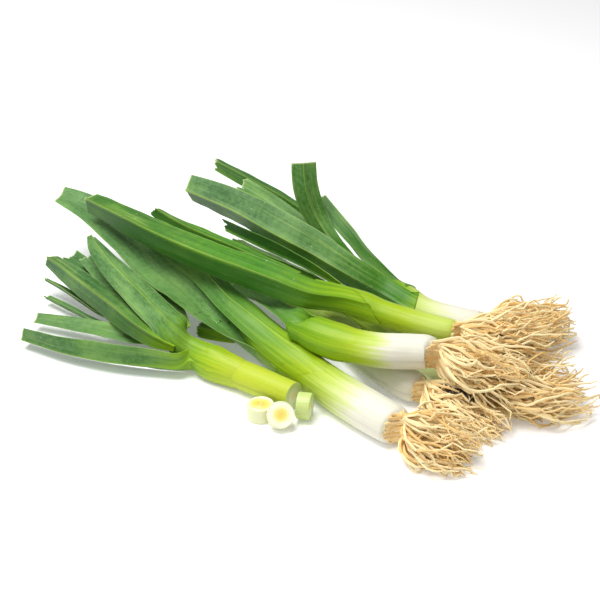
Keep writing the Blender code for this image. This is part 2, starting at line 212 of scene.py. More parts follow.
def lofted_rings(name, count, start_right=True):
    """Rings of a lofted CAD node, (rings, count, 3), from its +X end unless told otherwise."""
    bm = bmesh.new()
    bm.from_mesh(NODES[name].data)
    bmesh.ops.remove_doubles(bm, verts=bm.verts[:], dist=WELD)
    bm.verts.index_update()
    bm.verts.ensure_lookup_table()
    places = np.array([v.co[:] for v in bm.verts])
    ends = flat_ends(places, np.array([[v.index for v in f.verts] for f in bm.faces]), count)
    level, rows = {}, []
    row = ends[0]
    while row:
        if len(row) != count:
            raise RuntimeError("a ring of %s has %d points" % (name, len(row)))
        level.update({i: len(rows) for i in row})
        rows.append(sorted(row))
        row = {e.other_vert(bm.verts[i]).index for i in row for e in bm.verts[i].link_edges}
        row -= set(level)
    next_to = {i: set() for i in level}
    for edge in bm.edges:
        a, b = (v.index for v in edge.verts)
        lids = [all(v.index in end for v in f.verts) for f in edge.link_faces for end in ends]
        if level[a] == level[b] and sum(lids) < 2:
            next_to[a].add(b)
            next_to[b].add(a)
    bm.free()
    rings = [places[walk_ring(next_to, row)] for row in rows]
    for k in range(1, len(rings)):
        before = rings[k - 1] - rings[k - 1].mean(0)
        here = rings[k] - rings[k].mean(0)
        turns = [(flip, shift) for flip in (1, -1) for shift in range(count)]
        best = min(turns, key=lambda t: ((np.roll(here[::t[0]], t[1], 0) - before) ** 2).sum())
        rings[k] = np.roll(rings[k][::best[0]], best[1], 0)
    rings = np.array(rings)
    if (rings[0, :, 0].mean() > rings[-1, :, 0].mean()) != start_right:
        rings = rings[::-1]
    return rings


def smooth_rows(rows, places):
    """Rows of values read at places, counted in rows, on smooth curves through them."""
    rows = np.asarray(rows, float)
    last = len(rows) - 1
    places = np.clip(np.asarray(places, float), 0, last)
    low = np.minimum(places.astype(int), last - 1)
    t = (places - low).reshape(places.shape + (1,) * (rows.ndim - 1))
    p0, p1, p2, p3 = (rows[np.clip(low + k, 0, last)] for k in (-1, 0, 1, 2))
    return 0.5 * (2 * p1 + (p2 - p0) * t + (2 * p0 - 5 * p1 + 4 * p2 - p3) * t ** 2
                  + (3 * p1 - 3 * p2 + p3 - p0) * t ** 3)


def unit(vectors):
    """Vectors along the last axis, each of length one."""
    return vectors / np.maximum(np.linalg.norm(vectors, axis=-1, keepdims=True), 1e-12)


def ease(t):
    """Smooth step from 0 to 1."""
    t = np.clip(t, 0.0, 1.0)
    return t * t * (3 - 2 * t)


class Line:
    """A smooth line through ring centres, read by distance along it."""

    def __init__(self, rings):
        self.rings = rings
        self.centres = rings.mean(1)
        self.last = len(rings) - 1
        self.fine = np.linspace(0, self.last, FINE_STEPS * self.last + 1)
        path = smooth_rows(self.centres, self.fine)
        steps = np.linalg.norm(np.diff(path, axis=0), axis=1)
        self.run = np.concatenate([[0.0], np.cumsum(steps)])
        self.length = float(self.run[-1])

    def place(self, distance):
        """Place, counted in rings, at a distance along the line."""
        return np.interp(distance, self.run, self.fine)

    def centre(self, distance):
        return smooth_rows(self.centres, self.place(distance))

    def axes(self, distance):
        """Unit vectors along the line, level across it and upright."""
        step = 0.002
        ahead = self.centre(np.minimum(np.asarray(distance) + step, self.length))
        behind = self.centre(np.maximum(np.asarray(distance) - step, 0.0))
        along = unit(ahead - behind)
        across = unit(np.cross(np.array([0.0, 0.0, 1.0]), along))
        return along, across, np.cross(along, across)

    def radius(self, distance):
        """Mean distance of the ring's points from the line."""
        sizes = np.linalg.norm(self.rings - self.centres[:, None], axis=2).mean(1)
        return smooth_rows(sizes, self.place(distance))

    def nearest(self, point):
        """Distance along the line of its point nearest to a point."""
        path = smooth_rows(self.centres, self.fine)
        return float(self.run[np.argmin(np.linalg.norm(path - point, axis=1))])


STEMS = {leek: Line(lofted_rings(leek + "_stem", STEM_SIDES)) for leek in LEEKS}


# ---------------------------------------------------------------- meshes

def grid_faces(rows, columns, start=0, closed=False, flip=False):
    """Quads between neighbouring points of a grid whose points are numbered row by row."""
    faces = []
    for r in range(rows - 1):
        for c in range(columns if closed else columns - 1):
            n = (c + 1) % columns
            a, b = start + r * columns + c, start + r * columns + n
            quad = (a, b, b + columns, a + columns)
            faces.append(quad[::-1] if flip else quad)
    return faces


def tube_faces(rows, sides, start):
    """Faces of a closed tube: its side, then its first and last rings."""
    faces = grid_faces(rows, sides, start, closed=True)
    faces.append(tuple(start + k for k in range(sides))[::-1])
    faces.append(tuple(start + (rows - 1) * sides + k for k in range(sides)))
    return faces


def round_about(centre, level, upright, reach, turn):
    """Points at a reach and a turn around a line's centres."""
    return (centre + level * (reach * np.cos(turn))[..., None]
            + upright * (reach * np.sin(turn))[..., None])


def full_turn(count):
    """Even turns around a circle."""
    return np.linspace(0, 2 * math.pi, count, endpoint=False)


def add_piece(name, points, faces, finishes, replaces, values=(), second=()):
    """Mesh object from points and faces; it rides on the pile and stands for CAD nodes.

    values holds (name, number for each point) and second the faces of the second finish.
    """
    mesh = bpy.data.meshes.new(name)
    mesh.from_pydata([tuple(p) for p in points], [], [tuple(f) for f in faces])
    for finish in finishes:
        mesh.materials.append(finish)
    for label, numbers in values:
        layer = mesh.attributes.new(label, "FLOAT", "POINT")
        layer.data.foreach_set("value", np.asarray(numbers, np.float32))
    for index in second:
        mesh.polygons[index].material_index = 1
    mesh.shade_smooth()
    mesh.set_sharp_from_angle(angle=math.radians(50))
    mesh.validate()
    obj = bpy.data.objects.new(name, mesh)
    bpy.context.scene.collection.objects.link(obj)
    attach(obj, "root")
    if replaces:
        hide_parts(*replaces)
    return obj


def rough(x, y, z=0.0):
    """Smooth random value between about -1 and 1 at each place."""
    grid = np.broadcast_arrays(np.asarray(x, float), y, z)
    flat = [noise.noise(Vector(p)) for p in zip(*(g.ravel() for g in grid))]
    return np.array(flat).reshape(grid[0].shape)


# ---------------------------------------------------------------- materials

def math_node(operation, turned=False):
    """A method of Wire that adds one Math node; turned swaps its two values."""
    def method(self, other=0.0):
        first, second = (other, self) if turned else (self, other)
        return self.finish.node("ShaderNodeMath", {"operation": operation}, {0: first, 1: second})
    return method


class Wire:
    """A node's output; Python sums on it add Math nodes."""
    __add__ = __radd__ = math_node("ADD")
    __sub__ = math_node("SUBTRACT")
    __rsub__ = math_node("SUBTRACT", turned=True)
    __mul__ = __rmul__ = math_node("MULTIPLY")
    __truediv__ = math_node("DIVIDE")
    __abs__ = math_node("ABSOLUTE")

    def __init__(self, finish, socket):
        self.finish, self.socket = finish, socket


class Finish:
    """One material and the nodes that make it."""

    def __init__(self, name):
        self.material = bpy.data.materials.new(name)
        self.material.use_nodes = True
        self.tree = self.material.node_tree
        self.tree.nodes.clear()
        self.shader = self.tree.nodes.new("ShaderNodeBsdfPrincipled")
        output = self.tree.nodes.new("ShaderNodeOutputMaterial")
        self.tree.links.new(self.shader.outputs[0], output.inputs["Surface"])

    def plug(self, socket, value):
        """Links or sets one input."""
        if isinstance(value, Wire):
            self.tree.links.new(value.socket, socket)
        elif isinstance(value, tuple) and len(value) == 3 and socket.type == "RGBA":
            socket.default_value = (*value, 1.0)
        else:
            socket.default_value = value

    def node(self, kind, settings, sockets, out=0):
        """A node with its settings, then its input values or links; gives one output."""
        node = self.tree.nodes.new(kind)
        for key, value in settings.items():
            if key == "stops":
                ramp = node.color_ramp.elements
                while len(ramp) < len(value):
                    ramp.new(1.0)
                for stop, (place, colour) in zip(ramp, value):
                    stop.position, stop.color = place, (*colour, 1.0)
            else:
                setattr(node, key, value)
        for key, value in sockets.items():
            self.plug(node.inputs[key], value)
        return Wire(self, node.outputs[out])

    def skin(self, **inputs):
        """Sets the shader's own inputs; underscores stand for spaces."""
        for key, value in inputs.items():
            self.plug(self.shader.inputs[key.replace("_", " ")], value)

    def glow(self, weight, reach):
        """Light that passes under the skin, and how far its red, green and blue go."""
        self.skin(Subsurface_Weight=weight, Subsurface_Radius=reach, Subsurface_Scale=1.0)

    def place(self):
        """Place on the object."""
        return self.node("ShaderNodeTexCoord", {}, {}, out=3)

    def attribute(self, name):
        return self.node("ShaderNodeAttribute", {"attribute_name": name}, {}, out=2)

    def vector(self, x, y, z=0.0):
        return self.node("ShaderNodeCombineXYZ", {}, {0: x, 1: y, 2: z})

    def grain(self, where, scale, detail=2.0, roughness=0.5):
        """Noise from 0 to 1."""
        return self.node("ShaderNodeTexNoise", {"noise_dimensions": "3D"}, {
            "Vector": where, "Scale": scale, "Detail": detail, "Roughness": roughness})

    def step(self, value, low, high, to_low=0.0, to_high=1.0):
        """Smooth step of a value between two limits."""
        return self.node("ShaderNodeMapRange", {"interpolation_type": "SMOOTHSTEP"},
                         {0: value, 1: low, 2: high, 3: to_low, 4: to_high})

    def mix(self, factor, first, second, blend="MIX"):
        """Mix of two colours."""
        return self.node("ShaderNodeMix", {"data_type": "RGBA", "blend_type": blend},
                         {0: factor, 6: first, 7: second}, out=2)

    def bump(self, height, strength, distance):
        return self.node("ShaderNodeBump", {}, {
            "Strength": strength, "Distance": distance, "Height": height})


def leek_skin(leek):
    """Waxy skin from white shank to bloomed green blade, with lengthwise veins; its bloom is partly
    painted sheen, and it carries painted highlight streaks and painted shade.
    """
    look = bpy.context.scene.leek_colours
    f = Finish("skin_" + leek)
    rise, around, across, inside, tone, ending = map(
        f.attribute, ("rise", "around", "across", "inside", "tone", "ending"))
    seed = float(LEEKS.index(leek)) * 3.7

    def marks(around_scale, rise_scale, shift=0.0, detail=2.0, roughness=0.5):
        """Noise that is finer with larger scales; shift moves it elsewhere."""
        where = f.vector(around * around_scale, rise * rise_scale, seed + shift)
        return f.grain(where, 1.0, detail, roughness)

    fine = marks(1500.0, 16.0, tone * 9.0)
    veins = marks(620.0, 11.0, tone * 9.0) * 0.65 + fine * 0.35
    bands = marks(230.0, 9.0)
    clouds = marks(55.0, 26.0, tone * 5.0, 3.0)
    mottle = marks(420.0, 260.0, 0.0, 3.0, 0.65)
    shift = (bands - 0.5) * 0.040 + (veins - 0.5) * 0.022 + (clouds - 0.5) * 0.016
    stops = [(mm * MM / RISE_SPAN, colour) for mm, colour in SKINS[leek]]
    base = f.node("ShaderNodeValToRGB", {"stops": stops}, {0: (rise + shift) / RISE_SPAN})
    green = f.step(rise, 0.085, 0.17)
    lime = f.step(rise + shift, 0.045, 0.085)
    base = f.mix(green * f.step(clouds, 0.45, 0.75) * 0.45, base, FRESH)
    shaded = f.step(veins, 0.42, 0.60) * (0.03 + lime * 0.38 + green * 0.34)
    base = f.mix(shaded, base, VEIN_SHADE, "MULTIPLY")
    # Grey patches: partly the leaves' real wax bloom and partly painted sheen, a lighter grey-green laid
    # into the colour.
    grey = green * (0.12 + tone * 0.75) * f.step(mottle * 0.5 + clouds * 0.5, 0.30, 0.66)
    base = f.mix(grey * look.bloom_and_sheen, base, BLOOM_AND_SHEEN)
    # Painted highlight: pale streaks along the veins stand in for glints of light on the waxy skin.
    highlight_streaks = f.step(fine * 0.5 + bands * 0.5, 0.55, 0.68) * (0.10 + green * 0.22)
    base = f.mix(highlight_streaks, base, HIGHLIGHT_STREAK)
    # Painted sheen: faces marked inside, the inner faces of the blades, are lifted toward grey-green as if
    # they caught the light.
    base = f.mix(inside * green * 0.16, base, BLOOM_AND_SHEEN)
    keel = (1.0 - f.step(abs(across), 0.015, 0.06)) * green * (1.0 - inside)
    base = f.mix(keel * 0.38, base, KEEL_LIME)
    edge = f.step(abs(across), 0.955, 0.99) * green
    base = f.mix(edge * 0.45, base, EDGE_LIME)
    flecks = f.node("ShaderNodeTexVoronoi", {"voronoi_dimensions": "3D"},
                    {"Vector": f.vector(around * 160.0, rise * 110.0, seed), "Scale": 1.0})
    pale = (1.0 - f.step(flecks, 0.035, 0.075)) * green
    base = f.mix(pale * 0.55, base, FLECK)
    spots = marks(700.0, 480.0, 4.0, 1.0)
    base = f.mix(f.step(spots, 0.74, 0.79) * green * 0.8, base, SCAR)
    base = f.mix(1.0 - f.step(ending, 0.0003, 0.0016), base, CUT_EDGE)
    base = f.mix(f.attribute("plate") * (0.65 + mottle * 0.35), base, PLATE_BROWN)
    # Painted shade: one half of each blade across its keel is darkened toward deep green, as if it faced
    # away from the light; strongest on leek c, whose lower half faces down. On leek d the other half is
    # darkened, and so is its stem, which carries across 0.5.
    shade_strength = 0.85 if leek == "c" else 0.30
    side = across * (1.0 if leek == "d" else -1.0)
    base = f.mix(f.step(side, 0.02, 0.22) * green * (shade_strength - clouds * 0.25), base, SHADED_HALF_GREEN)
    height = veins * 0.5 + bands * 0.5 + mottle * 0.18
    f.skin(Base_Color=base, Roughness=0.38 + mottle * 0.22 - (1.0 - green) * 0.05,
           Normal=f.bump(height, 0.8, 0.0008), Specular_IOR_Level=0.26)
    f.glow(look.glow, (0.0025, 0.0035, 0.0012))
    return f.material


def cut_flesh():
    """Wet cut face of a leek: thin pale layers around a yellow heart."""
    f = Finish("cut_flesh")
    out, turn = map(f.attribute, ("outward", "around"))
    grain = f.grain(f.vector(out * 9.0, turn * 240.0), 1.0, 3.0)
    wobble = out + (grain - 0.5) * 0.05
    heart = f.node("ShaderNodeValToRGB", {"stops": [
        (0.0, (0.72, 0.50, 0.02)), (0.20, (0.84, 0.62, 0.03)), (0.40, (0.88, 0.72, 0.10)),
        (0.56, (0.90, 0.84, 0.46)), (0.80, (0.88, 0.87, 0.70)), (0.95, (0.80, 0.84, 0.56)),
        (1.0, (0.66, 0.76, 0.34))]}, {0: wobble + f.attribute("paleness")})
    rings = f.node("ShaderNodeTexWave", {"wave_type": "BANDS", "bands_direction": "X"},
                   {"Vector": f.vector(wobble * 1.0, 0.0), "Scale": 2.6, "Distortion": 0.6})
    colour = f.mix(rings * 0.28, heart, (0.93, 0.92, 0.74))
    f.skin(Base_Color=colour, Roughness=0.26 + grain * 0.2, Coat_Weight=0.3, Coat_Roughness=0.15,
           Normal=f.bump(rings * 0.6 + grain * 0.4, 0.35, 0.0004))
    f.glow(0.15, (0.003, 0.003, 0.001))
    return f.material


def slice_skin():
    """Outer skin of a slice: white to fresh lime."""
    f = Finish("slice_skin")
    around, tone = map(f.attribute, ("around", "tone"))
    veins = f.grain(f.vector(around * 900.0, f.attribute("rise") * 60.0, tone * 8.0), 1.0, 3.0)
    base = f.mix(tone, (0.80, 0.80, 0.50), (0.42, 0.56, 0.07))
    base = f.mix(veins * 0.4, base, (0.86, 0.88, 0.62))
    f.skin(Base_Color=base, Roughness=0.34 + veins * 0.16, Normal=f.bump(veins, 0.4, 0.0005))
    f.glow(0.15, (0.003, 0.003, 0.001))
    return f.material


def root_fibre():
    """Dry straw-coloured root strands, each its own tint, darker where soil clings."""
    look = bpy.context.scene.leek_colours
    f = Finish("root_fibre")
    tint, tipward, around = map(f.attribute, ("tint", "tipward", "around"))
    fibre = f.grain(f.vector(around * 5.0, tipward * 16.0, tint * 40.0), 1.0, 3.0, 0.6)
    patch = f.grain(f.vector(tint * 90.0, tipward * 5.0), 1.0, 2.0)
    base = f.mix(f.step(tint, 0.05, 0.60), tuple(look.root), PALE_STRAW)
    base = f.mix(f.step(patch, 0.55, 0.80) * 0.45, base, DARK_STRAW)
    base = f.mix((1.0 - f.step(tipward, 0.0, 0.30)) * 0.16, base, DARK_STRAW)
    base = f.mix(f.step(fibre, 0.5, 0.8) * 0.30, base, PALE_STRAW)
    f.skin(Base_Color=base, Roughness=0.62 + fibre * 0.2, Normal=f.bump(fibre, 0.5, 0.0003))
    f.glow(0.12, (0.0012, 0.0008, 0.0004))
    return f.material


def soil_finish():
    """Dark damp soil crumbs."""
    f = Finish("soil")
    where = f.place()
    lumps = f.grain(where, 900.0, 4.0, 0.7)
    f.skin(Base_Color=f.mix(lumps, (0.012, 0.008, 0.004), (0.10, 0.065, 0.03)), Roughness=0.85,
           Normal=f.bump(lumps, 0.8, 0.0006))
    return f.material


def water_finish():
    """Clear drop of water."""
    f = Finish("water")
    where = f.place()
    f.skin(Base_Color=(0.96, 0.98, 0.96), Roughness=0.02 + f.grain(where, 300.0) * 0.03,
           Transmission_Weight=1.0, IOR=1.33)
    return f.material


def floor_finish():
    """Plain pale floor."""
    f = Finish("floor")
    where = f.place()
    grain = f.grain(where, 2.0, 2.0)
    f.skin(Base_Color=f.mix(grain, (0.88, 0.88, 0.88), (0.90, 0.90, 0.90)), Roughness=0.9,
           Emission_Color=(1.0, 1.0, 1.0), Emission_Strength=0.16)
    return f.material


# ---------------------------------------------------------------- properties

def number(name, description, default, kind=FloatProperty, **limits):
    """One value in the panel."""
    return kind(name=name, description=description, default=default, **limits)


def length(name, description, default, precision=4, **limits):
    """One length in the panel."""
    return number(name, description, default, unit="LENGTH", precision=precision, **limits)


class LeekSizes(bpy.types.PropertyGroup):
    """Fineness and small thicknesses."""
    leaf_columns: number("Leaf columns", "Points across a blade", 25, IntProperty, min=9, max=61)
    row_step: length("Row step", "Distance between rows of points", 0.0022, min=0.001, max=0.01)
    stem_sides: number("Stem sides", "Points around a stem", 72, IntProperty, min=16, max=180)
    edge_thick: length("Leaf edge", "Thickness of a leaf at its edges", 0.0005)
    rib_thick: length("Leaf keel", "Thickness of a leaf along its keel", 0.0019)
    strands: number("Root strands", "Strands in one tuft", 230, IntProperty, min=10, max=400)
    strand_radius: length("Strand radius", "Radius of a root strand near the plate", 0.00115, 5)


class LeekColours(bpy.types.PropertyGroup):
    """Colours and strengths of the finishes."""
    # Strength of the grey bloom on the leaves, which is partly real wax and partly painted sheen.
    bloom_and_sheen: number("Bloom", "How much grey bloom the leaves carry", 0.7, min=0, max=1,
                  subtype="FACTOR")
    glow: number("Glow", "Light that passes under the skin", 0.10, min=0, max=1, subtype="FACTOR")
    root: number("Root", "Straw colour of the roots", STRAW, FloatVectorProperty, size=3,
                 subtype="COLOR", min=0, max=1)


class LeekStage(bpy.types.PropertyGroup):
    """Floor, lights and camera."""
    key_power: number("Key light", "Power of the large soft light", 20.0, min=0, unit="POWER")
    sky: number("Sky", "Brightness of the even white surroundings", 0.33, min=0)
    elevation: number("Camera elevation", "Angle of the camera above the floor",
                      math.radians(30.0), subtype="ANGLE")
    distance: number("Camera distance", "From the camera to the middle of the pile", 1.4,
                     unit="LENGTH")
    lens: number("Lens", "Focal length in millimetres", 100.0, min=20)


GROUPS = {"leek_sizes": LeekSizes, "leek_colours": LeekColours, "leek_stage": LeekStage}


# ---------------------------------------------------------------- pieces

def stem_bulk(leek, line, run, turn):
    """Distance of the skin from a stem's line, and how deep in its hollow each point is."""
    wide = line.radius(run[:, 0])
    share = run / line.length
    seed = 10.0 * LEEKS.index(leek)
    uneven, lap_height, inset, fuller = 0.018, 0.00032, 0.0005, 0.0017
    lumps = rough(np.cos(turn) * 0.9, run * 22, seed + np.sin(turn) * 0.9)
    bulk = wide[:, None] * (1 + uneven * lumps)
    for k in range(3):
        edge = seed * 1.3 + 2.1 * k + run * (2.5 - 3.0 * k)
        lap = ((turn - edge) / (2 * math.pi)) % 1.0
        bulk = bulk + lap_height * (1 - lap) * ease((run - 0.004) / 0.03)
    bulk = bulk - inset + fuller * ease((share - 0.5) / 0.15)
    if leek not in SPOONS:
        return bulk, np.zeros_like(bulk)
    begin, sink = SPOONS[leek]
    full = wide.max() * 0.88 * (1 - 0.45 * ease((share - 0.94) / 0.06))
    bulk = np.where(share > 0.6, np.maximum(bulk, full), bulk)
    rim = begin + 0.06 * np.cos(turn - math.radians(10))
    facing_up = ease((np.cos(turn - math.radians(128)) - 0.05) / 0.45)
    hollow = ease((share - rim) / 0.05) * facing_up
    return bulk * (1 - hollow * sink), hollow


def stem_lid(cut, shares, rim, centre, along, radius):
    """Rings that close a stem's root end: nearly flat where it's cut, else a low domed plate."""
    rings = []
    for k, share in enumerate(shares, start=1):
        if cut:
            lift = 0.00018 * math.sin(k * 2.2)
        else:
            lift = 0.10 * radius * math.sqrt(1 - share ** 2) + 0.0004 * math.sin(k * 1.9)
        rings.append(centre + (rim - centre) * share - along * lift)
    return np.array(rings)


def stem_piece(leek):
    """Round shank with overlapping sheath edges, a domed plate or a clean cut end."""
    size = bpy.context.scene.leek_sizes
    line, cut, sides = STEMS[leek], leek in CUT_STEMS, size.stem_sides
    rows = int(line.length / size.row_step) + 1
    runs, turns = np.linspace(0, line.length, rows), full_turn(sides)
    centre, wide = line.centre(runs), line.radius(runs)
    along, across, upright = line.axes(runs)
    run_grid, turn_grid = np.meshgrid(runs, turns, indexing="ij")
    bulk, hollow = stem_bulk(leek, line, run_grid, turn_grid)
    wall = round_about(centre[:, None], across[:, None], upright[:, None], bulk, turn_grid).reshape(-1, 3)
    lid_rings = 14 if cut else 7
    shares = 1 - np.arange(1, lid_rings + 1) / (lid_rings + 0.4)
    lids = stem_lid(cut, shares, wall[:sides], centre[0], along[0], wide[0])
    points = np.concatenate([wall, lids.reshape(-1, 3), [lids[-1].mean(0)]])
    points[:, 2] = np.maximum(points[:, 2], 0.0002)
    count, first, tip = len(points), len(wall), len(points) - 1
    after = [(k, (k + 1) % sides) for k in range(sides)]
    faces = grid_faces(rows, sides, closed=True)
    faces += [(first + k, first + n, n, k) for k, n in after]
    faces += grid_faces(lid_rings, sides, first, closed=True, flip=True)
    faces += [(tip - sides + n, tip - sides + k, tip) for k, n in after]
    second = range((rows - 1) * sides, len(faces)) if cut else ()
    faces.append(tuple((rows - 1) * sides + k for k in range(sides)))
    dent, plate = np.zeros(count), np.zeros(count)
    dent[:first] = hollow.ravel()
    plate[first:] = 0.0 if cut else 1.0
    on_lids = count - first
    rise = np.concatenate([run_grid.ravel(), np.zeros(on_lids)])
    girth = np.append(np.tile(turns, rows + lid_rings), 0.0) * wide.mean()
    values = [("rise", rise + dent * 0.05), ("around", girth),
              ("outward", np.concatenate([np.ones(first), np.repeat(shares, sides), [0.0]])),
              ("ending", np.where((dent > 0.02) & (dent < 0.35), 0.0008, 1.0)),
              ("across", np.full(count, 0.5)), ("inside", dent), ("tone", 0.12 + 0.5 * dent),
              ("paleness", np.full(count, 0.36)), ("plate", plate)]
    finishes = [kept(leek_skin, leek)] + ([kept(cut_flesh)] if cut else [])
    name = leek + "_stem"
    return add_piece("skin_" + name, points, faces, finishes, [name], values, second)


def blade_grid(name):
    """A leaf's middle points, 5 across, from base to end, and its inward side's direction."""
    rings = lofted_rings(name, LEAF_SIDES)
    half = LEAF_SIDES // 2
    size = np.linalg.norm(np.roll(rings, -1, 1) - rings, axis=2).mean(0)
    first = int(np.argmin(size[:half] + size[half:]))
    rings = np.roll(rings, -(first + 1), 1)
    one, other = rings[:, :half], rings[:, :half - 1:-1]
    middle = (one + other) / 2
    opens = unit((middle[:, 0] + middle[:, -1]) / 2 - middle[:, 2])
    if ((one[:, 2] - other[:, 2]) * opens).sum() < 0:
        one, other = other, one
    return middle, unit(one - other)


def across_blade(five, where):
    """Points across a blade from its five: edge, mid, keel, mid, edge."""
    t = np.abs(where)[:, None]
    far = np.where(where < 0, 0, 4)
    mid = np.where(where < 0, 1, 3)
    return (five[:, [2] * len(where)] * (2 * (t - 0.5) * (t - 1))
            + five[:, mid] * (-4 * t * (t - 1)) + five[:, far] * (2 * t * (t - 0.5)))


def blade_runs(name, line, high, where, rows):
    """Distances along a leaf of its points, row by row, and of its trimmed or torn end."""
    slant, tear = ENDS.get(name, (0, 0))
    offset = leaf_offset(name)
    trim = abs(slant) * (1 + math.copysign(1, slant) * where) / 2
    trim = trim + tear * (0.5 + rough(where * 2.6, offset))
    trim = trim + tear * 0.35 * (0.5 + rough(where * 9.0, offset + 5))
    ends = line.length - np.maximum(trim, 0) * MM
    starts = (SHEATHS[name].later if name in SHEATHS else 0.0) * (1 + high * where) / 2
    share = np.linspace(0, 1, rows)[:, None]
    return starts[None, :] + share * (ends - starts)[None, :], ends


def leaf_offset(name):
    """Number that makes each leaf's waves and veins its own."""
    return random.Random(name).uniform(0, 50)


def blade_sheet(line, five, inward, runs, where, offset):
    """A blade's wavy middle surface, its inward directions and its widths."""
    fine = across_blade(smooth_rows(five, line.fine), where)
    ways = across_blade(smooth_rows(inward, line.fine), where)
    middle, normal = np.empty((2, *runs.shape, 3))
    for c in range(len(where)):
        for axis in range(3):
            middle[:, c, axis] = np.interp(runs[:, c], line.run, fine[:, c, axis])
            normal[:, c, axis] = np.interp(runs[:, c], line.run, ways[:, c, axis])
    width = np.linalg.norm(np.diff(middle, axis=1), axis=2).sum(1)
    edge, sign = np.abs(where)[None, :] ** 3, np.sign(where)[None, :]
    wave = rough(runs * 34, sign * 3.0, offset) * 0.0011
    wave = wave + rough(runs * 95, sign * 5.0, offset + 9) * 0.00035
    body = rough(runs * 26, where[None, :] * 1.3, offset + 20) * 0.0007
    grow = ease(runs / 0.03)
    return middle + unit(normal) * ((wave * edge + body) * grow)[..., None], normal, width


def blade_faces_off(width, where, thin):
    """How far a blade's two faces lie from its middle: thin edges, ribbed keel, fine grooves."""
    size = bpy.context.scene.leek_sizes
    groove_depth, groove_step, rib_share = 0.00006, 0.0022, 0.075
    thick = size.edge_thick + 0.0004 * (1 - np.abs(where) ** 3)
    rib = np.minimum(1.0, width.max() / 0.02) * (size.rib_thick - size.edge_thick)
    rib = rib * np.exp(-(where / rib_share) ** 2)
    grooves = groove_depth * np.sin(where * width.max() / 2 * 2 * math.pi / groove_step)[None, :]
    return [(thick[None, :] * 0.5 + rib[None, :] * part) * thin[:, None] + grooves
            for part in (0.15, 0.85)]


def shell_faces(rows, columns, flip):
    """Faces of a thin shell: two grids, one after the other, joined along their edges."""
    half = rows * columns
    faces = grid_faces(rows, columns, flip=flip) + grid_faces(rows, columns, half, flip=not flip)
    edges = [(r * columns + c, columns, turn) for r in range(rows - 1)
             for c, turn in ((0, False), (columns - 1, True))]
    edges += [(r * columns + c, 1, turn) for c in range(columns - 1)
              for r, turn in ((0, True), (rows - 1, False))]
    for a, step, turn in edges:
        quad = (a, a + step, a + step + half, a + half)
        faces.append(quad if turn == flip else quad[::-1])
    return faces


def leaf_piece(name):
    """Folded blade: thin edges, ribbed keel, trimmed end, and a tongue along its stem."""
    size = bpy.context.scene.leek_sizes
    five, inward = blade_grid(name)
    line, columns, offset = Line(five), size.leaf_columns, leaf_offset(name)
    where = np.linspace(-1, 1, columns)
    where = np.sign(where) * np.abs(where) ** 1.15
    rows = int(line.length / size.row_step) + 1
    high = math.copysign(1, five[0, -1, 2] - five[0, 0, 2])
    runs, ends = blade_runs(name, line, high, where, rows)
    middle, normal, width = blade_sheet(line, five, inward, runs, where, offset)
    leek = "f" if name == "leaf_scrap" else name[0]
    base = STEMS[leek].nearest(five[0].mean(0))
    rise = base + runs + AHEAD.get(name, 0) * MM
    tail, veins = 0, where[None, :] * width.mean() / 2
    if name in SHEATHS:
        middle, rise, tail, veins = add_tongue(name, STEMS[leek], base, middle, rise, runs, where)
    total = rows + tail
    thin = np.ones(total)
    if tail:
        thin_end = 0.8 if SHEATHS[name].layer == OUTER else 0.12
        thin[:tail] = thin_end + (1 - thin_end) * ease(np.linspace(0, 1, tail))
    k = columns // 2
    middle[:, k] = middle[:, k] * 0.5 + (middle[:, k - 1] + middle[:, k + 1]) * 0.25
    facing = unit(np.cross(np.gradient(middle, axis=0), np.gradient(middle, axis=1)))
    side = np.sign((facing[tail:] * normal).sum())
    facing = facing * side
    up, down = blade_faces_off(width, where, thin)
    top = middle + facing * up[..., None]
    under = middle - facing * down[..., None]
    top[..., 2] = np.maximum(top[..., 2], 0.0004)
    under[..., 2] = np.maximum(under[..., 2], 0.0002)
    points = np.concatenate([top.reshape(-1, 3), under.reshape(-1, 3)])
    half = total * columns
    ending = np.ones((total, columns))
    ending[tail:] = ends[None, :] - runs

    def both(grid):
        return np.tile(np.broadcast_to(grid, (total, columns)).ravel(), 2)

    values = [("rise", both(rise)), ("around", both(veins + 0.05 * offset)),
              ("across", both(where[None, :])), ("ending", both(ending)),
              ("tone", np.full(2 * half, TONES.get(name, 0.4))),
              ("inside", np.repeat([1.0, 0.0], half))]
    faces = shell_faces(total, columns, side < 0)
    return add_piece("blade_" + name, points, faces, [kept(leek_skin, leek)], [name], values)


